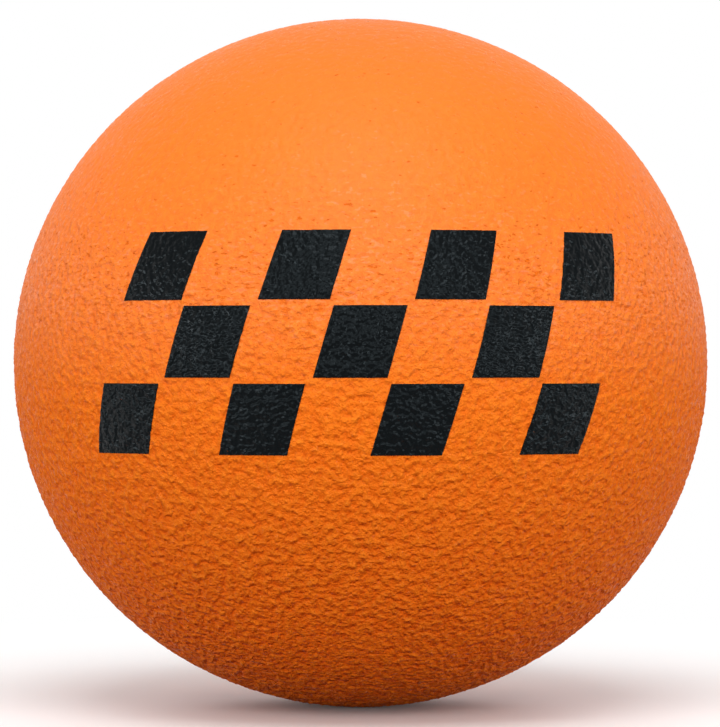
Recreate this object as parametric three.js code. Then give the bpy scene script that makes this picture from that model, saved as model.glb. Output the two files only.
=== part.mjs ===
// Foam play ball: a soft foam core inside a sprayed elastic skin, with a chequer band printed on its front.
// Millimetres, +Z up. The origin is the ball's centre, and the print faces -Y.

import * as THREE from "three";

// Ball
const BALL_WIDTH = 178; // side to side, and front to back
const BALL_HEIGHT = 176.7; // the soft ball sits a little lower than it is wide
const SKIN_THICKNESS = 0.8; // sprayed elastic coat
const BOND_LINE = 0.3; // between the foam and the inside of the skin
const VENT_DIAMETER = 2.5; // lets the air out of the foam as the ball is squeezed

// Print
const PRINT_ROWS = 3;
const PRINT_COLUMNS = 7;
const BLOCK_WIDTH = 17.4;
const BLOCK_HEIGHT = 17;
const BLOCK_SPACING = 1.4; // bare skin between neighbouring columns and between neighbouring rows
const PRINT_SLANT = THREE.MathUtils.degToRad(16); // each block leans to the right
const PRINT_RISE = 5; // the band's middle above the ball's middle
const INK_THICKNESS = 0.2;
const INK_CLEARANCE = 0.1; // between the ink and the skin under it

// Facets
const TURN_STEPS = 64; // around the ball
const ARC_STEPS = 32; // from the front to the back of the ball
const BLOCK_STEPS = 4; // along each edge of a printed block

const QUARTER_TURN = Math.PI / 2;
const ROW_NAMES = "abcdefghijklmnopqrstuvwxyz";

const skinRadius = BALL_WIDTH / 2;
const liningRadius = skinRadius - SKIN_THICKNESS;
const coreRadius = liningRadius - BOND_LINE;
const ventRadius = VENT_DIAMETER / 2;
const sag = BALL_HEIGHT / BALL_WIDTH;

const foamMaterial = new THREE.MeshStandardMaterial({ color: 0xead9a8, roughness: 0.95, metalness: 0 });
const skinMaterial = new THREE.MeshStandardMaterial({ color: 0xe97226, roughness: 0.5, metalness: 0 });
const inkMaterial = new THREE.MeshStandardMaterial({ color: 0x17191b, roughness: 0.45, metalness: 0 });

// Half outline of a round body, from the front pole to the back pole or to the edge of a hole there.
function meridian(radius, holeRadius) {
  const backAngle = Math.acos(holeRadius / radius);
  return new THREE.EllipseCurve(0, 0, radius, radius, -QUARTER_TURN, backAngle).getPoints(ARC_STEPS);
}

// Turns an outline about the front-to-back axis, then lowers the ball to its resting height.
function turned(outline) {
  const geometry = new THREE.LatheGeometry(outline, TURN_STEPS);
  return geometry.scale(1, 1, sag);
}

function foamCore() {
  const mesh = new THREE.Mesh(turned(meridian(coreRadius, 0)), foamMaterial);
  mesh.name = "foam_core";
  return mesh;
}

// The skin is one unbroken film around the foam, open only at the air vent in the middle of the back.
function skin() {
  const outside = meridian(skinRadius, ventRadius);
  const inside = meridian(liningRadius, ventRadius).reverse();
  const mesh = new THREE.Mesh(turned([...outside, ...inside]), skinMaterial);
  mesh.name = "skin";
  return mesh;
}

// A point that lies so far right of and above the middle of the ball's front, measured along the surface,
// and stands so far out from it.
function onTheBall(right, above, proud) {
  const longitude = right / skinRadius;
  const latitude = above / (skinRadius * sag);
  const point = new THREE.Vector3().setFromSphericalCoords(skinRadius, QUARTER_TURN - latitude, longitude);
  const outward = new THREE.Vector3(point.x, point.y / sag, point.z).normalize();
  point.y *= sag;
  point.addScaledVector(outward, proud);
  return new THREE.Vector3(point.x, -point.z, point.y);
}

// One slanted block of ink, bent to lie on the ball.
function printedBlock(row, column) {
  const film = new THREE.BoxGeometry(BLOCK_WIDTH, INK_THICKNESS, BLOCK_HEIGHT, BLOCK_STEPS, 1, BLOCK_STEPS);
  const right = (column - (PRINT_COLUMNS - 1) / 2) * (BLOCK_WIDTH + BLOCK_SPACING);
  const above = ((PRINT_ROWS - 1) / 2 - row) * (BLOCK_HEIGHT + BLOCK_SPACING);
  const corners = film.getAttribute("position");
  const corner = new THREE.Vector3();
  for (let i = 0; i < corners.count; i++) {
    corner.fromBufferAttribute(corners, i);
    const height = above + corner.z;
    const lean = height * Math.tan(PRINT_SLANT);
    const proud = INK_CLEARANCE + INK_THICKNESS / 2 - corner.y;
    const placed = onTheBall(right + corner.x + lean, PRINT_RISE + height, proud);
    corners.setXYZ(i, placed.x, placed.y, placed.z);
  }
  film.computeVertexNormals();
  const mesh = new THREE.Mesh(film, inkMaterial);
  mesh.name = `print_block_${ROW_NAMES[row]}${column + 1}`;
  return mesh;
}

// A chequer: every other block of each row is printed, and neighbouring rows are offset by one block.
function chequerBand() {
  const band = new THREE.Group();
  for (let row = 0; row < PRINT_ROWS; row++) {
    for (let column = row % 2; column < PRINT_COLUMNS; column += 2) {
      band.add(printedBlock(row, column));
    }
  }
  return band;
}

const ball = new THREE.Group();
ball.name = "foam_ball";
ball.add(foamCore(), skin(), chequerBand());

export default ball;
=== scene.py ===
"""Foam ball: an add-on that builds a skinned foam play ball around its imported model, with a plain stage.

Metres, +Z up. The ball's centre is the origin, its printed front faces -Y, and the vent is at the back.
"""

import math

import bpy
from bpy.props import FloatProperty, FloatVectorProperty, IntProperty, PointerProperty
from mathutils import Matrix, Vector


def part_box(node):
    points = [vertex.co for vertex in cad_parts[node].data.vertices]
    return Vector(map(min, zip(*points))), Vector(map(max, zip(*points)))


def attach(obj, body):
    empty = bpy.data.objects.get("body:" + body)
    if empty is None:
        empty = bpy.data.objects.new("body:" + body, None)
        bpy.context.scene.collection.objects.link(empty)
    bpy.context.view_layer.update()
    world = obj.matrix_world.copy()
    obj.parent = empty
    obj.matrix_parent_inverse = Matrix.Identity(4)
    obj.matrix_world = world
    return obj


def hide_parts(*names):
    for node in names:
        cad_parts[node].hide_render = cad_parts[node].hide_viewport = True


bl_info = {
    "name": "Foam Ball",
    "version": (1, 0, 0),
    "blender": (4, 5, 0),
    "location": "3D View > Sidebar > Foam Ball",
    "description": "Builds a skinned foam ball with a printed chequer band, and a plain stage for it",
    "category": "Add Mesh",
}

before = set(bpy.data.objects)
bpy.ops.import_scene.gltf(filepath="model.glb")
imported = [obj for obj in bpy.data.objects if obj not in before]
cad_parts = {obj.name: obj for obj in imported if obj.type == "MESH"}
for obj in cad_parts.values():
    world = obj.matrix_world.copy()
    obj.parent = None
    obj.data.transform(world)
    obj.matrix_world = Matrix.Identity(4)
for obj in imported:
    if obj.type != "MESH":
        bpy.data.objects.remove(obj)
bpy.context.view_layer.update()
SKIN_LOW, SKIN_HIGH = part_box("skin")

MM = 0.001
BODY = "root"
RELIEF_GROUP = "relief"
HOLLOW = "hollow"
ROW_NAMES = "abcdefghijklmnopqrstuvwxyz"

# The photograph's frame, and the ball's outline in it
PHOTO_WIDTH_PX = 720
PHOTO_HEIGHT_PX = 727
BALL_MIDDLE_PX = (360.5, 362.8)
BALL_HALF_WIDTH_PX = 346.5

# Relief of the sprayed skin, in millimetres
LUMP_SWAY_SIZE = 3.0
LUMP_SWAY = 1.6
SWELL_SIZE = 14.0
SWELL_HEIGHT = 0.2
PIT_SPACING = 6.25
PIT_FLOOR_RADIUS = 0.25
PIT_RADIUS = 0.875
PIT_DEPTH = 0.12
HOLLOW_START = 0.06
HOLLOW_FULL = -0.12

# How far lumps flow together, and where on a lump and on a fold the plain ball's surface lies
LUMP_BLEND = 0.25
LUMP_LEVEL = 0.45
FOLD_LEVEL = 0.22

# Widths of the patterns in the materials, in millimetres
CREASE_WIDTH = 0.75
CREASE_PATCH_WIDTH = 10.0
CLOUD_WIDTH = 18.0
SKIN_SHINE_WIDTH = 1.2
INK_SHADE_WIDTH = 1.4
INK_SHINE_WIDTH = 1.6

# The finest grain: its broader part, how it deepens downwards, and the height at which the painted shade in
# its hollows and the plain orange on its crests are full
BROAD_GRAIN_WIDTH = 2.0
BROAD_GRAIN_SHARE = 1.1
BOTTOM_GRAIN_DEPTH = 2.0
GRAIN_DEEPENING = 1.1
GRAIN_SHADE_REACH = 1.1

# Shares of the painted shade in the modelled hollows, of the random deeper orange mottling and of the
# painted shade in the short creases, and the looks of the short creases and of the ridges between them
HOLLOW_SHADE = 0.1
CLOUD_TINT = 0.03
CREASE_SHADE_SHARE = 0.6
CREASE_SHADE = 0.78
CREASE_DEPTH = 0.2
CREASE_PATCHINESS = 0.12
CREASE_STRETCH = (0.45, 0.45, 1.0)
PLAIN_GLOSS = 0.9
RIDGE_GLOSS = 1.3

# The ink: its paler patches, and the share of the skin's grain that shows through it
PALER_INK = 1.8
INK_GRAIN_SHARE = 0.5

# Open cells of the bare foam
FOAM_CELLS_PER_MM = 1.1
FOAM_CELL_DEPTH_MM = 0.5
FOAM_CELL_SHADE = 0.55


class FoamBallSizes(bpy.types.PropertyGroup):
    """Sizes of the ball, its skin and its print"""

    width: FloatProperty(
        name="Ball width",
        description="Across the ball, side to side and front to back",
        default=SKIN_HIGH.x - SKIN_LOW.x,
        min=0.05,
        unit="LENGTH",
    )
    height: FloatProperty(
        name="Ball height",
        description="The soft ball sits a little lower than it is wide",
        default=SKIN_HIGH.z - SKIN_LOW.z,
        min=0.05,
        unit="LENGTH",
    )
    skin_thickness: FloatProperty(
        name="Skin thickness",
        description="Thickness of the sprayed skin",
        default=0.8 * MM,
        min=0.1 * MM,
        unit="LENGTH",
    )
    bond_line: FloatProperty(
        name="Bond line",
        description="Between the foam and the inside of the skin",
        default=0.3 * MM,
        min=0.0,
        unit="LENGTH",
    )
    vent_diameter: FloatProperty(
        name="Vent diameter",
        description="Air vent through the skin, in the middle of the back",
        default=2.5 * MM,
        min=0.5 * MM,
        unit="LENGTH",
    )
    lump_size: FloatProperty(
        name="Lump size",
        description="Width of one lump of the skin",
        default=1.75 * MM,
        min=0.5 * MM,
        unit="LENGTH",
    )
    lump_height: FloatProperty(
        name="Lump height",
        description="How steeply the lumps rise, as the height of a lump that ends in a point",
        default=0.5 * MM,
        min=0.0,
        unit="LENGTH",
    )
    fold_size: FloatProperty(
        name="Fold size",
        description="Distance between the creases that wander over the lumps",
        default=1.1 * MM,
        min=0.3 * MM,
        unit="LENGTH",
    )
    fold_height: FloatProperty(
        name="Fold height",
        description="Height of the folds between those creases",
        default=0.26 * MM,
        min=0.0,
        unit="LENGTH",
    )
    grain_size: FloatProperty(
        name="Grain size",
        description="Width of the finest grain",
        default=0.9 * MM,
        min=0.1 * MM,
        unit="LENGTH",
    )
    grain_depth: FloatProperty(
        name="Grain depth",
        description="Depth of the finest grain at the ball's middle",
        default=0.76 * MM,
        min=0.0,
        unit="LENGTH",
    )
    print_rows: IntProperty(
        name="Print rows",
        description="Rows of blocks in the printed band",
        default=3,
        min=1,
        max=len(ROW_NAMES),
    )
    print_columns: IntProperty(
        name="Print columns",
        description="Columns of blocks in the printed band",
        default=7,
        min=1,
    )
    block_width: FloatProperty(
        name="Block width",
        description="Width of one printed block, along the ball",
        default=17.4 * MM,
        min=1 * MM,
        unit="LENGTH",
    )
    block_height: FloatProperty(
        name="Block height",
        description="Height of one printed block, along the ball",
        default=17 * MM,
        min=1 * MM,
        unit="LENGTH",
    )
    block_spacing: FloatProperty(
        name="Block spacing",
        description="Bare skin between neighbouring columns and between neighbouring rows",
        default=1.4 * MM,
        min=0.0,
        unit="LENGTH",
    )
    print_slant: FloatProperty(
        name="Print slant",
        description="How far each block leans to the right",
        default=math.radians(16),
        subtype="ANGLE",
    )
    print_rise: FloatProperty(
        name="Print rise",
        description="The band's middle above the ball's middle",
        default=5 * MM,
        unit="LENGTH",
    )
    ink_thickness: FloatProperty(
        name="Ink thickness",
        description="Thickness of each film of ink",
        default=0.12 * MM,
        min=0.01 * MM,
        unit="LENGTH",
    )


class FoamBallColours(bpy.types.PropertyGroup):
    """Colours of the ball's materials"""

    skin: FloatVectorProperty(
        name="Skin",
        description="Orange of the sprayed skin, on the crests of its grain",
        default=(0.82, 0.226, 0.009),
        min=0.0,
        max=1.0,
        subtype="COLOR",
    )
    # Painted shade: a darker, deeper orange that the skin's material lays into the grain's hollows and
    # creases, where shade falls; a little of it also goes into random mottling
    skin_shade_and_mottle: FloatVectorProperty(
        name="Skin in the creases",
        description="Deeper orange at the bottom of the skin's grain and creases",
        default=(0.74, 0.110, 0.0003),
        min=0.0,
        max=1.0,
        subtype="COLOR",
    )
    ink: FloatVectorProperty(
        name="Ink",
        description="Black of the print",
        default=(0.0010, 0.0013, 0.0016),
        min=0.0,
        max=1.0,
        subtype="COLOR",
    )
    foam: FloatVectorProperty(
        name="Foam",
        description="Pale cream of the bare foam",
        default=(0.80, 0.68, 0.40),
        min=0.0,
        max=1.0,
        subtype="COLOR",
    )
    floor: FloatVectorProperty(
        name="Floor",
        description="Pale grey of the floor, as it is seen",
        default=(0.9, 0.9, 0.9),
        min=0.0,
        max=1.0,
        subtype="COLOR",
    )
    floor_bounce: FloatVectorProperty(
        name="Floor bounce",
        description="The floor's share in lighting the ball from below, weaker than its looks",
        default=(0.29, 0.08, 0.05),
        min=0.0,
        max=1.0,
        subtype="COLOR",
    )


class FoamBallStage(bpy.types.PropertyGroup):
    """Camera and light"""

    camera_distance: FloatProperty(
        name="Camera distance",
        description="From the ball's centre to the camera",
        default=0.9,
        min=0.3,
        unit="LENGTH",
    )
    dome_strength: FloatProperty(
        name="Dome strength",
        description="Light that reaches the ball evenly from all sides",
        default=0.44,
        min=0.0,
    )
    key_power: FloatProperty(
        name="Key power",
        description="Soft box high in front of the ball",
        default=11.8,
        min=0.0,
        unit="POWER",
    )
    front_power: FloatProperty(
        name="Front power",
        description="Wide soft box over the camera",
        default=6.9,
        min=0.0,
        unit="POWER",
    )
    side_power: FloatProperty(
        name="Side power",
        description="Each of the two low strip boxes left and right of the camera",
        default=12.2,
        min=0.0,
        unit="POWER",
    )
    back_power: FloatProperty(
        name="Back power",
        description="Soft box behind the ball, which lights its back only",
        default=17.0,
        min=0.0,
        unit="POWER",
    )


# Small helpers for objects and meshes


def deselect_all():
    if bpy.context.object is not None and bpy.context.object.mode != "OBJECT":
        bpy.ops.object.mode_set(mode="OBJECT")
    bpy.ops.object.select_all(action="DESELECT")


def select_only(piece):
    deselect_all()
    piece.select_set(True)
    bpy.context.view_layer.objects.active = piece


def active_piece(name):
    """Names the object that the last primitive made, and its mesh."""
    piece = bpy.context.object
    piece.name = name
    piece.data.name = name
    return piece


def edit(piece, select_mode="VERT"):
    """Opens a piece in edit mode with nothing selected."""
    select_only(piece)
    bpy.ops.object.mode_set(mode="EDIT")
    bpy.ops.mesh.select_mode(type=select_mode)
    bpy.ops.mesh.select_all(action="DESELECT")


def select_where(piece, elements, test):
    """Selects the vertices, edges or faces of a piece in edit mode for which test is true."""
    bpy.ops.mesh.select_all(action="DESELECT")
    bpy.ops.object.mode_set(mode="OBJECT")
    for element in getattr(piece.data, elements):
        element.select = test(element)
    bpy.ops.object.mode_set(mode="EDIT")


def apply_modifier(piece, modifier):
    select_only(piece)
    bpy.ops.object.modifier_apply(modifier=modifier.name)


def finish_piece(piece, material, slot, *nodes):
    """Gives a piece its material and smooth faces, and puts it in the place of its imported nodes."""
    piece.data.materials.clear()
    piece.data.materials.append(material)
    select_only(piece)
    bpy.ops.object.shade_smooth()
    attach(piece, BODY)
    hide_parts(*nodes)


# Small helpers for node trees


def add_node(tree, kind, values=None, **settings):
    """Adds a node with its settings, and gives its inputs their values or links."""
    node = tree.nodes.new(kind)
    for name, value in settings.items():
        setattr(node, name, value)
    for socket, value in (values or {}).items():
        if isinstance(value, bpy.types.NodeSocket):
            tree.links.new(value, node.inputs[socket])
        else:
            node.inputs[socket].default_value = value
    return node


def math_of(tree, operation, *values):
    node = add_node(tree, "ShaderNodeMath", dict(enumerate(values)), operation=operation)
    return node.outputs[0]


def vector_of(tree, operation, *values):
    node = add_node(tree, "ShaderNodeVectorMath", dict(enumerate(values)), operation=operation)
    return node.outputs[0]


def scaled(tree, vector, factor):
    node = add_node(tree, "ShaderNodeVectorMath", {0: vector, "Scale": factor}, operation="SCALE")
    return node.outputs[0]


def in_millimetres(tree, place):
    return scaled(tree, place, 1 / MM)


def noise_of(tree, place, size, detail=0.0, output="Fac"):
    """Soft noise whose lumps are about size millimetres wide."""
    values = {"Vector": place, "Scale": 1 / size, "Detail": detail}
    return add_node(tree, "ShaderNodeTexNoise", values).outputs[output]


def cells_of(tree, place, per_mm, blend=None):
    """Distance to the middle of the nearest cell, in cells. With a blend, the cells flow together."""
    values = {"Vector": place, "Scale": per_mm}
    if blend is None:
        return add_node(tree, "ShaderNodeTexVoronoi", values, feature="F1").outputs["Distance"]
    values["Smoothness"] = blend
    return add_node(tree, "ShaderNodeTexVoronoi", values, feature="SMOOTH_F1").outputs["Distance"]


def ramp_of(tree, value, low, high, to_low=0.0, to_high=1.0, smooth=False):
    values = {"Value": value, "From Min": low, "From Max": high, "To Min": to_low, "To Max": to_high}
    kind = "SMOOTHSTEP" if smooth else "LINEAR"
    return add_node(tree, "ShaderNodeMapRange", values, interpolation_type=kind).outputs["Result"]


def mix_colour(tree, factor, first, second):
    # A Mix node has sockets for every type of data: its colours are inputs 6 and 7 and output 2
    node = add_node(tree, "ShaderNodeMix", data_type="RGBA")
    for socket, value in ((node.inputs[0], factor), (node.inputs[6], first), (node.inputs[7], second)):
        if isinstance(value, bpy.types.NodeSocket):
            tree.links.new(value, socket)
        else:
            socket.default_value = (*value, 1.0) if hasattr(value, "__len__") else value
    return node.outputs[2]


def new_relief(name):
    """A geometry tree for a modifier, with its geometry in and out and the place of each point."""
    tree = bpy.data.node_groups.new(name, "GeometryNodeTree")
    tree.interface.new_socket("Geometry", in_out="INPUT", socket_type="NodeSocketGeometry")
    tree.interface.new_socket("Geometry", in_out="OUTPUT", socket_type="NodeSocketGeometry")
    start = add_node(tree, "NodeGroupInput")
    end = add_node(tree, "NodeGroupOutput")
    place = add_node(tree, "GeometryNodeInputPosition").outputs[0]
    return tree, start.outputs[0], end.inputs[0], place


def move_points(tree, geometry, offset, result):
    moved = add_node(tree, "GeometryNodeSetPosition", {"Geometry": geometry, "Offset": offset})
    tree.links.new(moved.outputs[0], result)


# The ball's form


def sag(sizes):
    return sizes.height / sizes.width


def round_cube(piece, sizes, radius):
    """Swells a cube of edge 2, cut into equal squares, into a ball whose squares stay nearly equal."""
    for vertex in piece.data.vertices:
        place = Vector(math.tan(part * math.pi / 4) for part in vertex.co)
        vertex.co = radius * place.normalized()
        vertex.co.z *= sag(sizes)


def ball_from_cube(name, sizes, radius, cuts):
    deselect_all()
    bpy.ops.mesh.primitive_cube_add(size=2)
    piece = active_piece(name)
    edit(piece)
    bpy.ops.mesh.select_all(action="SELECT")
    bpy.ops.mesh.subdivide(number_cuts=cuts)
    deselect_all()
    round_cube(piece, sizes, radius)
    return piece


def on_the_ball(sizes, right, above):
    """A point so far right of and above the middle of the front, along the surface."""
    radius = sizes.width / 2
    longitude = right / radius
    latitude = above / (radius * sag(sizes))
    point = radius * Vector(
        (
            math.cos(latitude) * math.sin(longitude),
            -math.cos(latitude) * math.cos(longitude),
            math.sin(latitude),
        )
    )
    point.z *= sag(sizes)
    return point


def relief_tree(sizes):
    """The grain of the sprayed skin, as geometry nodes that move each point along the ball's normal."""
    tree, plain, pressed, place = new_relief("sprayed_grain")
    mm = in_millimetres(tree, place)

    wander = noise_of(tree, mm, LUMP_SWAY_SIZE, detail=1.0, output="Color")
    sway = vector_of(tree, "SUBTRACT", wander, (0.5, 0.5, 0.5))
    swayed = vector_of(tree, "MULTIPLY_ADD", sway, (LUMP_SWAY, LUMP_SWAY, LUMP_SWAY), mm)
    cells = cells_of(tree, swayed, MM / sizes.lump_size, LUMP_BLEND)
    lump = math_of(tree, "SUBTRACT", LUMP_LEVEL, cells)
    lumps = math_of(tree, "MULTIPLY", lump, sizes.lump_height / MM)

    crinkle = noise_of(tree, swayed, sizes.fold_size / MM, detail=1.0)
    crease_to_fold = math_of(tree, "ABSOLUTE", math_of(tree, "MULTIPLY_ADD", crinkle, 2.0, -1.0))
    fold = math_of(tree, "SUBTRACT", crease_to_fold, FOLD_LEVEL)
    folds = math_of(tree, "MULTIPLY", fold, sizes.fold_height / MM)

    broad = noise_of(tree, mm, SWELL_SIZE, detail=1.0)
    swell = math_of(tree, "MULTIPLY_ADD", broad, SWELL_HEIGHT, -SWELL_HEIGHT / 2)

    from_pit = cells_of(tree, swayed, 1 / PIT_SPACING)
    floor = PIT_FLOOR_RADIUS / PIT_SPACING
    edge = PIT_RADIUS / PIT_SPACING
    pit = ramp_of(tree, from_pit, floor, edge, to_low=1.0, to_high=0.0, smooth=True)
    pits = math_of(tree, "MULTIPLY", pit, -PIT_DEPTH)

    pebbles = math_of(tree, "ADD", lumps, folds)
    height = math_of(tree, "ADD", pebbles, math_of(tree, "ADD", swell, pits))
    weight = add_node(tree, "GeometryNodeInputNamedAttribute", {"Name": RELIEF_GROUP}, data_type="FLOAT")
    out_by = math_of(tree, "MULTIPLY", height, weight.outputs["Attribute"])
    flat = vector_of(tree, "MULTIPLY", place, (1.0, 1.0, sag(sizes) ** -2))
    outward = vector_of(tree, "NORMALIZE", flat)
    offset = scaled(tree, outward, math_of(tree, "MULTIPLY", out_by, MM))

    # How hollow each point is; the skin's material paints shade into these hollows
    hollow = ramp_of(tree, height, HOLLOW_START, HOLLOW_FULL)
    kept = add_node(
        tree,
        "GeometryNodeStoreNamedAttribute",
        {"Geometry": plain, "Name": HOLLOW, "Value": hollow},
        data_type="FLOAT",
        domain="POINT",
    )
    move_points(tree, kept.outputs[0], offset, pressed)
    return tree


def add_grain(piece, sizes, weight):
    """Presses the skin's grain into a piece. Weight gives a number from 0 to 1 for each vertex."""
    group = piece.vertex_groups.new(name=RELIEF_GROUP)
    for vertex in piece.data.vertices:
        group.add([vertex.index], weight(vertex), "REPLACE")
    grain = piece.modifiers.new("Grain", "NODES")
    grain.node_group = relief_tree(sizes)
    apply_modifier(piece, grain)


# Materials


def new_material(name):
    """A material, its node tree, its shader, and the place on the piece in millimetres."""
    material = bpy.data.materials.new(name)
    material.use_nodes = True
    tree = material.node_tree
    shader = tree.nodes["Principled BSDF"]
    place = add_node(tree, "ShaderNodeTexCoord").outputs["Object"]
    return material, tree, shader, in_millimetres(tree, place)


def bump_of(tree, height, depth_mm):
    values = {"Height": height, "Strength": 1.0, "Distance": depth_mm * MM}
    return add_node(tree, "ShaderNodeBump", values).outputs["Normal"]


def level_of(tree, mm, sizes):
    """How high a point is on the ball: -1 at its bottom, 1 at its top."""
    above = add_node(tree, "ShaderNodeSeparateXYZ", {0: mm}).outputs["Z"]
    return math_of(tree, "DIVIDE", above, sizes.height / 2 / MM)


def fine_grain(tree, mm, sizes, level, detail=1.9, top_depth=0.0):
    """Height of the finest grain, about 1 deep at the ball's middle and deeper towards its bottom."""
    grain_mm = sizes.grain_size / MM
    fine = math_of(tree, "SUBTRACT", noise_of(tree, mm, grain_mm, detail), 0.5)
    broad = math_of(tree, "SUBTRACT", noise_of(tree, mm, BROAD_GRAIN_WIDTH * grain_mm), 0.5)
    both = math_of(tree, "MULTIPLY_ADD", broad, BROAD_GRAIN_SHARE, fine)
    falling = ramp_of(tree, level, -1.0, 1.0, to_low=BOTTOM_GRAIN_DEPTH, to_high=top_depth)
    return math_of(tree, "MULTIPLY", both, math_of(tree, "POWER", falling, GRAIN_DEEPENING))


def short_creases(tree, mm, level):
    """Short level creases on the upper half, denser further down, and the shiny ridges between them.

    Two masks: 1 in a crease or on a ridge, 0 on the plain skin.
    """
    drawn_out = vector_of(tree, "MULTIPLY", mm, CREASE_STRETCH)
    streaks = noise_of(tree, drawn_out, CREASE_WIDTH, detail=1.0)
    broad = noise_of(tree, mm, CREASE_PATCH_WIDTH)
    patches = math_of(tree, "MULTIPLY_ADD", broad, CREASE_PATCHINESS, -CREASE_PATCHINESS / 2)
    rarity = ramp_of(tree, level, 0.15, 0.5, to_low=0.585, to_high=0.735)
    above = math_of(tree, "SUBTRACT", math_of(tree, "ADD", streaks, patches), rarity)
    creases = ramp_of(tree, above, 0.0, 0.06, smooth=True)
    ridge_level = ramp_of(tree, level, 0.3, 0.7, to_low=0.42, to_high=0.3)
    below = math_of(tree, "SUBTRACT", ridge_level, streaks)
    ridges = ramp_of(tree, below, 0.0, 0.08, smooth=True)
    upper = ramp_of(tree, level, -0.1, 0.3)
    return math_of(tree, "MULTIPLY", creases, upper), ridges


def skin_material(sizes, colours):
    """Sprayed orange elastomer: satin on top, matte below, finely crinkled, with painted shade making it
    darker and deeper orange in the hollows and creases.
    """
    material, tree, shader, mm = new_material("sprayed_skin")
    level = level_of(tree, mm, sizes)
    grain = fine_grain(tree, mm, sizes, level)
    creases, ridges = short_creases(tree, mm, level)

    # Painted shade: this darker, deeper orange is mixed in where the grain and relief are low and in the
    # short creases, and a little of it into random mottling
    shade_and_mottle = tuple(colours.skin_shade_and_mottle)
    # Painted shade: the finest grain's low places are darker and deeper orange, and its crests are plain
    # orange
    crest = ramp_of(tree, grain, -GRAIN_SHADE_REACH, GRAIN_SHADE_REACH)
    grain_shade = mix_colour(tree, crest, shade_and_mottle, tuple(colours.skin))
    # Painted shade in the hollows of the modelled relief
    hollow = add_node(tree, "ShaderNodeAttribute", attribute_name=HOLLOW).outputs["Fac"]
    base = mix_colour(tree, math_of(tree, "MULTIPLY", hollow, HOLLOW_SHADE), grain_shade, shade_and_mottle)
    clouds = ramp_of(tree, noise_of(tree, mm, CLOUD_WIDTH, detail=2.0), 0.3, 0.7, to_high=CLOUD_TINT)
    clouded = mix_colour(tree, clouds, base, shade_and_mottle)
    # Painted shade: the short creases are pressed in by the bump below, and their colour is also darkened
    # towards a still darker orange
    shadow = tuple(CREASE_SHADE * part for part in shade_and_mottle)
    shaded = mix_colour(tree, math_of(tree, "MULTIPLY", creases, CREASE_SHADE_SHARE), clouded, shadow)
    tree.links.new(shaded, shader.inputs["Base Color"])

    patches = noise_of(tree, mm, SKIN_SHINE_WIDTH, detail=2.0)
    roughness = ramp_of(tree, patches, 0.54, 0.68, to_low=0.65, to_high=0.26)
    tree.links.new(roughness, shader.inputs["Roughness"])
    shader.inputs["Specular IOR Level"].default_value = 0.09

    sheen = ramp_of(tree, level, -0.15, 0.25, to_low=0.05, to_high=0.56, smooth=True)
    satin = math_of(tree, "MULTIPLY", sheen, ramp_of(tree, level, 0.3, 0.65, to_low=1.0, to_high=0.85))
    plain_gloss = math_of(tree, "MULTIPLY_ADD", creases, -PLAIN_GLOSS, PLAIN_GLOSS)
    gloss = math_of(tree, "MULTIPLY_ADD", ridges, RIDGE_GLOSS, plain_gloss)
    tree.links.new(math_of(tree, "MULTIPLY", satin, gloss), shader.inputs["Coat Weight"])
    shader.inputs["Coat Roughness"].default_value = 0.56

    relief = math_of(tree, "MULTIPLY_ADD", creases, -CREASE_DEPTH, grain)
    tree.links.new(bump_of(tree, relief, sizes.grain_depth / MM), shader.inputs["Normal"])
    return material


def ink_material(sizes, colours):
    """Satin black ink that evens out the grain of the skin under it."""
    material, tree, shader, mm = new_material("printed_ink")
    black = tuple(colours.ink)
    paler = tuple(PALER_INK * part for part in black)
    shade = ramp_of(tree, noise_of(tree, mm, INK_SHADE_WIDTH, detail=2.0), 0.3, 0.7, to_high=0.5)
    tree.links.new(mix_colour(tree, shade, black, paler), shader.inputs["Base Color"])
    patches = noise_of(tree, mm, INK_SHINE_WIDTH, detail=2.0)
    roughness = ramp_of(tree, patches, 0.35, 0.65, to_low=0.12, to_high=0.28)
    tree.links.new(roughness, shader.inputs["Roughness"])
    shader.inputs["Specular IOR Level"].default_value = 0.09
    # Painted light: the blue tint of the ink's reflections stands for cool light falling on it
    shader.inputs["Specular Tint"].default_value = (0.74, 0.92, 1.0, 1.0)
    grain = fine_grain(tree, mm, sizes, level_of(tree, mm, sizes), detail=0.4, top_depth=0.4)
    depth_mm = INK_GRAIN_SHARE * sizes.grain_depth / MM
    tree.links.new(bump_of(tree, grain, depth_mm), shader.inputs["Normal"])
    return material


def foam_material(colours):
    """Open-cell foam: matte cream with fine round cells."""
    material, tree, shader, mm = new_material("open_cell_foam")
    cells = cells_of(tree, mm, FOAM_CELLS_PER_MM)
    depth = ramp_of(tree, cells, 0.05, 0.55, to_low=0.55, to_high=0.0, smooth=True)
    shadow = tuple(FOAM_CELL_SHADE * part for part in colours.foam)
    tree.links.new(mix_colour(tree, depth, tuple(colours.foam), shadow), shader.inputs["Base Color"])
    shader.inputs["Roughness"].default_value = 0.95
    shader.inputs["Specular IOR Level"].default_value = 0.2
    tree.links.new(bump_of(tree, cells, FOAM_CELL_DEPTH_MM), shader.inputs["Normal"])
    return material


# Pieces


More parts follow.
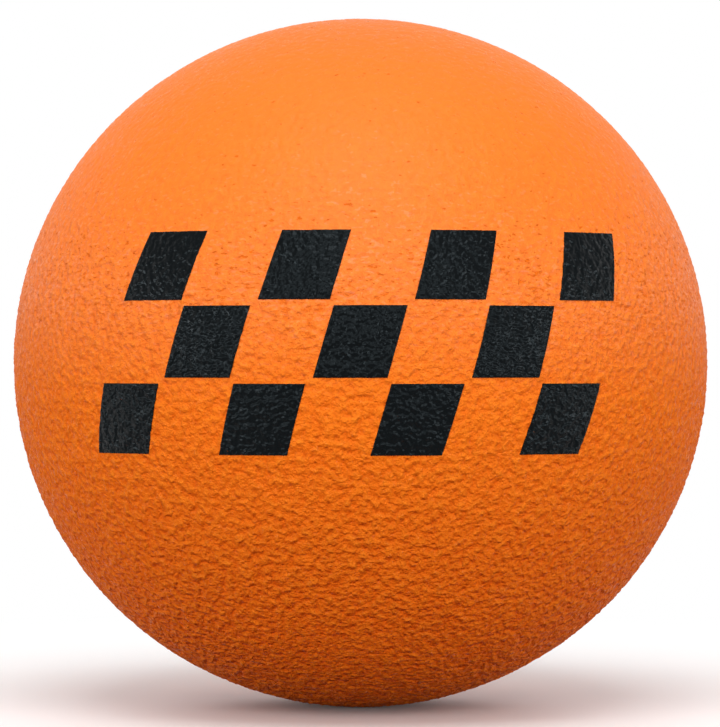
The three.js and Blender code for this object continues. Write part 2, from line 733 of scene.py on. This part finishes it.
class FOAMBALL_OT_core(bpy.types.Operator):
    """Make the foam core inside the skin"""

    bl_idname = "foam_ball.core"
    bl_label = "Foam Core"

    CUTS = 95
    PORES_PER_MM = 1 / 4.5
    PORE_DEPTH = 0.35 * MM
    PORE_BLEND = 0.3

    def execute(self, context):
        sizes = context.scene.foam_ball_sizes
        radius = sizes.width / 2 - sizes.skin_thickness - sizes.bond_line
        core = ball_from_cube("foam_filling", sizes, radius, self.CUTS)
        pores = core.modifiers.new("Pores", "NODES")
        pores.node_group = self.pore_tree()
        apply_modifier(core, pores)
        finish_piece(core, foam_material(context.scene.foam_ball_colours), "foam", "foam_core")
        return {"FINISHED"}

    def pore_tree(self):
        """Shallow open pores, pressed in towards the middle of the core."""
        tree, plain, pressed, place = new_relief("foam_pores")
        cells = cells_of(tree, in_millimetres(tree, place), self.PORES_PER_MM, self.PORE_BLEND)
        out_by = ramp_of(tree, cells, 0.1, 0.5, to_low=-self.PORE_DEPTH, to_high=0.0, smooth=True)
        outward = vector_of(tree, "NORMALIZE", place)
        move_points(tree, plain, scaled(tree, outward, out_by), pressed)
        return tree


class FOAMBALL_OT_skin(bpy.types.Operator):
    """Make the pebbled skin, one shell with a lining and an air vent at the back"""

    bl_idname = "foam_ball.skin"
    bl_label = "Skin"

    COARSE_CUTS = 31
    FINE_CUTS = 7
    LINING_TURN_STEPS = 64
    LINING_ARC_STEPS = 32
    CALM_WIDTH = 3.0 * MM
    TOP_CALM = 0.6

    def execute(self, context):
        sizes = context.scene.foam_ball_sizes
        skin = ball_from_cube("sprayed_skin", sizes, sizes.width / 2, self.COARSE_CUTS)
        self.open_vent(skin, sizes)
        self.refine(skin, sizes)
        self.line(skin, sizes)
        self.press_grain(skin, sizes)
        finish_piece(skin, skin_material(sizes, context.scene.foam_ball_colours), "skin", "skin")
        return {"FINISHED"}

    def open_vent(self, skin, sizes):
        """Opens four squares in the middle of the back and draws their edge in to the vent's circle."""
        edit(skin, "FACE")
        reach = sizes.width / 2 * math.radians(90 / (self.COARSE_CUTS + 1))
        back = Vector((0, sizes.width / 2, 0))
        select_where(skin, "polygons", lambda face: (face.center - back).length < reach)
        bpy.ops.mesh.delete(type="FACE")
        bpy.ops.mesh.select_mode(type="EDGE")
        bpy.ops.mesh.select_non_manifold()
        bpy.ops.mesh.extrude_edges_move()
        bpy.ops.transform.tosphere(value=1.0)
        self.resize_rim(skin, sizes)

    def resize_rim(self, skin, sizes):
        """Sets the selected ring to the vent's radius, on the ball's surface."""
        bpy.ops.object.mode_set(mode="OBJECT")
        radius = sizes.vent_diameter / 2
        for vertex in skin.data.vertices:
            if vertex.select:
                ring = Vector((vertex.co.x, 0, vertex.co.z)).normalized() * radius
                ring.y = math.sqrt((sizes.width / 2) ** 2 - radius**2)
                vertex.co = ring
        bpy.ops.object.mode_set(mode="EDIT")

    def refine(self, skin, sizes):
        """Cuts every face finely, and brings the new points out to the ball and to the vent's circle."""
        bpy.ops.mesh.select_all(action="SELECT")
        bpy.ops.mesh.subdivide(number_cuts=self.FINE_CUTS)
        bpy.ops.object.mode_set(mode="OBJECT")
        for vertex in skin.data.vertices:
            flat = Vector((vertex.co.x, vertex.co.y, vertex.co.z / sag(sizes)))
            vertex.co = flat.normalized() * sizes.width / 2
            vertex.co.z *= sag(sizes)
        bpy.ops.object.mode_set(mode="EDIT")
        bpy.ops.mesh.select_mode(type="EDGE")
        bpy.ops.mesh.select_all(action="DESELECT")
        bpy.ops.mesh.select_non_manifold()
        self.resize_rim(skin, sizes)

    def line(self, skin, sizes):
        """Turns the vent's edge in through the skin and joins it to a plain round lining."""
        bpy.ops.mesh.extrude_edges_move(TRANSFORM_OT_translate={"value": (0, -sizes.skin_thickness, 0)})
        lining = self.make_lining(sizes)
        select_only(skin)
        lining.select_set(True)
        bpy.ops.object.join()
        edit(skin, "EDGE")
        bpy.ops.mesh.select_non_manifold()
        bpy.ops.mesh.bridge_edge_loops()
        bpy.ops.mesh.select_all(action="SELECT")
        bpy.ops.mesh.remove_doubles(threshold=0.001 * MM)
        bpy.ops.mesh.normals_make_consistent(inside=False)
        bpy.ops.object.mode_set(mode="OBJECT")

    def make_lining(self, sizes):
        """A plain ball inside the skin, open at the back."""
        radius = sizes.width / 2 - sizes.skin_thickness
        deselect_all()
        bpy.ops.mesh.primitive_uv_sphere_add(
            segments=self.LINING_TURN_STEPS, ring_count=self.LINING_ARC_STEPS, radius=radius
        )
        lining = active_piece("lining")
        edit(lining)
        bpy.ops.mesh.select_all(action="SELECT")
        bpy.ops.transform.rotate(value=math.pi / 2, orient_axis="X", center_override=(0, 0, 0))
        bpy.ops.transform.resize(value=(1, 1, sag(sizes)), center_override=(0, 0, 0))
        pole = Vector((0, radius, 0))
        select_where(lining, "vertices", lambda vertex: (vertex.co - pole).length < 0.01 * MM)
        bpy.ops.mesh.delete(type="VERT")
        bpy.ops.object.mode_set(mode="OBJECT")
        return lining

    def press_grain(self, skin, sizes):
        """The grain covers the outside, and calms down next to the vent and towards the top."""
        halfway = (sizes.width - sizes.skin_thickness) / 2
        back = Vector((0, sizes.width / 2, 0))

        def weight(vertex):
            flat = Vector((vertex.co.x, vertex.co.y, vertex.co.z / sag(sizes)))
            outside = flat.length > halfway
            from_vent = (vertex.co - back).length - sizes.vent_diameter / 2
            calm = min(max(from_vent / self.CALM_WIDTH, 0.0), 1.0)
            high = max(2 * vertex.co.z / sizes.height, 0.0)
            return calm * (1 - self.TOP_CALM * high) if outside else 0.0

        add_grain(skin, sizes, weight)


class FOAMBALL_OT_print(bpy.types.Operator):
    """Make the printed chequer band, one film of ink for each block"""

    bl_idname = "foam_ball.print"
    bl_label = "Printed Band"

    BLOCK_CUTS = 60
    CLEARANCE = 0.04 * MM

    def execute(self, context):
        sizes = context.scene.foam_ball_sizes
        material = ink_material(sizes, context.scene.foam_ball_colours)
        pattern = self.flat_block(sizes)
        for row in range(sizes.print_rows):
            for column in range(row % 2, sizes.print_columns, 2):
                self.lay_block(pattern, row, column, sizes, material)
        bpy.data.objects.remove(pattern)
        return {"FINISHED"}

    def flat_block(self, sizes):
        """One block of ink before it is laid on the ball: X to the right, Y up the ball."""
        deselect_all()
        cuts = self.BLOCK_CUTS
        bpy.ops.mesh.primitive_grid_add(x_subdivisions=cuts, y_subdivisions=cuts, size=1)
        block = active_piece("ink_pattern")
        edit(block)
        bpy.ops.mesh.select_all(action="SELECT")
        full_size = (sizes.block_width, sizes.block_height, 1)
        bpy.ops.transform.resize(value=full_size, center_override=(0, 0, 0))
        bpy.ops.object.mode_set(mode="OBJECT")
        return block

    def lay_block(self, pattern, row, column, sizes, material):
        """Bends a copy of the block over the ball, lays it on the skin's lumps and makes it a film."""
        name = f"{ROW_NAMES[row]}{column + 1}"
        block = pattern.copy()
        block.data = pattern.data.copy()
        block.name = block.data.name = f"ink_{name}"
        bpy.context.scene.collection.objects.link(block)
        right = (column - (sizes.print_columns - 1) / 2) * (sizes.block_width + sizes.block_spacing)
        above = ((sizes.print_rows - 1) / 2 - row) * (sizes.block_height + sizes.block_spacing)
        for vertex in block.data.vertices:
            height = above + vertex.co.y
            lean = height * math.tan(sizes.print_slant)
            vertex.co = on_the_ball(sizes, right + vertex.co.x + lean, sizes.print_rise + height)
        wrap = block.modifiers.new("Wrap", "SHRINKWRAP")
        wrap.target = bpy.data.objects["sprayed_skin"]
        wrap.wrap_method = "PROJECT"
        wrap.use_positive_direction = True
        wrap.use_negative_direction = True
        wrap.offset = self.CLEARANCE
        apply_modifier(block, wrap)
        film = block.modifiers.new("Film", "SOLIDIFY")
        film.thickness = sizes.ink_thickness
        film.offset = 1.0
        apply_modifier(block, film)
        finish_piece(block, material, "ink", f"print_block_{name}")


class FOAMBALL_OT_stage(bpy.types.Operator):
    """Make the floor, the light and the camera"""

    bl_idname = "foam_ball.stage"
    bl_label = "Stage"

    WHITE = (1.0, 1.0, 1.0, 1.0)
    FLOOR_RADIUS = 3.0
    FLOOR_SIDES = 96
    SHADOW_REACH = 0.16
    BOX_DISTANCE = 1.5
    SENSOR = 36.0

    def execute(self, context):
        sizes = context.scene.foam_ball_sizes
        stage = context.scene.foam_ball_stage
        context.scene.view_settings.view_transform = "Standard"
        self.make_floor(context, sizes)
        self.light_world(context, stage)
        self.add_soft_box("key_box", stage.key_power, width=1.0, depth=0.8, azimuth=0, elevation=64)
        self.add_soft_box("front_box", stage.front_power, width=1.6, depth=0.5, azimuth=0, elevation=27)
        self.add_soft_box("left_strip", stage.side_power, width=2.2, depth=0.2, azimuth=-54, elevation=2)
        self.add_soft_box("right_strip", stage.side_power, width=2.2, depth=0.2, azimuth=54, elevation=2)
        back = self.add_soft_box(
            "back_box", stage.back_power, width=1.2, depth=0.8, azimuth=180, elevation=14
        )
        back.visible_glossy = False
        self.place_camera(context, sizes, stage)
        return {"FINISHED"}

    def make_floor(self, context, sizes):
        """A floor that shows the ball's shadow, is white further out, and lights the ball only a little."""
        deselect_all()
        bpy.ops.mesh.primitive_circle_add(
            vertices=self.FLOOR_SIDES,
            radius=self.FLOOR_RADIUS,
            fill_type="NGON",
            location=(0, 0, -sizes.height / 2),
        )
        floor = active_piece("floor")
        material = bpy.data.materials.new("pale_floor")
        material.use_nodes = True
        tree = material.node_tree
        tree.nodes.remove(tree.nodes["Principled BSDF"])
        colours = context.scene.foam_ball_colours
        pale = add_node(tree, "ShaderNodeBsdfDiffuse", {"Color": (*colours.floor, 1.0)})
        white = add_node(tree, "ShaderNodeEmission", {"Color": self.WHITE, "Strength": 1.0})
        place = add_node(tree, "ShaderNodeTexCoord").outputs["Object"]
        away = add_node(tree, "ShaderNodeVectorMath", {0: place}, operation="LENGTH").outputs["Value"]
        fade = ramp_of(tree, away, self.SHADOW_REACH, 2 * self.SHADOW_REACH, smooth=True)
        seen = add_node(tree, "ShaderNodeMixShader", {0: fade, 1: pale.outputs[0], 2: white.outputs[0]})
        dark = add_node(tree, "ShaderNodeBsdfDiffuse", {"Color": (*colours.floor_bounce, 1.0)})
        shown = self.shown_rays(tree)
        both = add_node(tree, "ShaderNodeMixShader", {0: shown, 1: dark.outputs[0], 2: seen.outputs[0]})
        tree.links.new(both.outputs[0], tree.nodes["Material Output"].inputs["Surface"])
        floor.data.materials.append(material)

    def shown_rays(self, tree):
        """1 for the rays that show the background, also in a reflection, and 0 for those that light."""
        light = add_node(tree, "ShaderNodeLightPath").outputs
        straight = math_of(tree, "MAXIMUM", light["Is Camera Ray"], light["Is Transmission Ray"])
        return math_of(tree, "MAXIMUM", straight, light["Is Glossy Ray"])

    def light_world(self, context, stage):
        """White where it is seen, and a weak dome where it lights."""
        world = bpy.data.worlds.new("studio")
        context.scene.world = world
        world.use_nodes = True
        tree = world.node_tree
        tree.nodes.clear()
        white = add_node(tree, "ShaderNodeBackground", {"Color": self.WHITE, "Strength": 1.0})
        dome = add_node(
            tree, "ShaderNodeBackground", {"Color": self.WHITE, "Strength": stage.dome_strength}
        )
        shown = self.shown_rays(tree)
        both = add_node(tree, "ShaderNodeMixShader", {0: shown, 1: dome.outputs[0], 2: white.outputs[0]})
        output = add_node(tree, "ShaderNodeOutputWorld")
        tree.links.new(both.outputs[0], output.inputs["Surface"])

    def add_soft_box(self, name, power, width, depth, azimuth, elevation):
        """A soft box that faces the ball. Azimuth 0 is over the camera, and grows to the camera's right."""
        turn = math.radians(azimuth)
        rise = math.radians(elevation)
        out = math.cos(rise)
        away = Vector((math.sin(turn) * out, -math.cos(turn) * out, math.sin(rise)))
        deselect_all()
        bpy.ops.object.light_add(type="AREA", location=self.BOX_DISTANCE * away)
        lamp = bpy.context.object
        lamp.name = name
        lamp.rotation_euler = (-away).to_track_quat("-Z", "Y").to_euler()
        lamp.data.shape = "RECTANGLE"
        lamp.data.size = width
        lamp.data.size_y = depth
        lamp.data.energy = power
        lamp.visible_camera = False
        return lamp

    def place_camera(self, context, sizes, stage):
        """A level camera whose lens draws the ball as large as in the photograph, in the same place."""
        radius = sizes.width / 2
        spread = math.tan(math.asin(radius / stage.camera_distance))
        focal_px = BALL_HALF_WIDTH_PX / spread
        deselect_all()
        bpy.ops.object.camera_add(location=(0, -stage.camera_distance, 0), rotation=(math.pi / 2, 0, 0))
        camera = bpy.context.object
        camera.name = "camera"
        camera.data.sensor_width = self.SENSOR
        camera.data.lens = self.SENSOR * focal_px / PHOTO_HEIGHT_PX
        camera.data.shift_x = (PHOTO_WIDTH_PX / 2 - BALL_MIDDLE_PX[0]) / PHOTO_HEIGHT_PX
        camera.data.shift_y = (BALL_MIDDLE_PX[1] - PHOTO_HEIGHT_PX / 2) / PHOTO_HEIGHT_PX
        context.scene.camera = camera


class FOAMBALL_PT_panel(bpy.types.Panel):
    """Lists the ball's pieces, sizes and colours, and its stage"""

    bl_idname = "FOAMBALL_PT_panel"
    bl_label = "Foam Ball"
    bl_space_type = "VIEW_3D"
    bl_region_type = "UI"
    bl_category = "Foam Ball"

    def draw(self, context):
        layout = self.layout
        for operator in OPERATORS:
            layout.operator(operator.bl_idname)
        for group in ("foam_ball_sizes", "foam_ball_colours", "foam_ball_stage"):
            settings = getattr(context.scene, group)
            box = layout.box()
            for name in settings.bl_rna.properties.keys():
                if name not in ("rna_type", "name"):
                    box.prop(settings, name)


GROUPS = (FoamBallSizes, FoamBallColours, FoamBallStage)
OPERATORS = (FOAMBALL_OT_stage, FOAMBALL_OT_core, FOAMBALL_OT_skin, FOAMBALL_OT_print)
CLASSES = (*GROUPS, *OPERATORS, FOAMBALL_PT_panel)


def register():
    for item in CLASSES:
        bpy.utils.register_class(item)
    bpy.types.Scene.foam_ball_sizes = PointerProperty(type=FoamBallSizes)
    bpy.types.Scene.foam_ball_colours = PointerProperty(type=FoamBallColours)
    bpy.types.Scene.foam_ball_stage = PointerProperty(type=FoamBallStage)


def unregister():
    del bpy.types.Scene.foam_ball_stage
    del bpy.types.Scene.foam_ball_colours
    del bpy.types.Scene.foam_ball_sizes
    for item in reversed(CLASSES):
        bpy.utils.unregister_class(item)


def main():
    register()
    bpy.ops.foam_ball.stage()
    bpy.ops.foam_ball.core()
    bpy.ops.foam_ball.skin()
    bpy.ops.foam_ball.print()
    deselect_all()


if __name__ == "__main__":
    main()
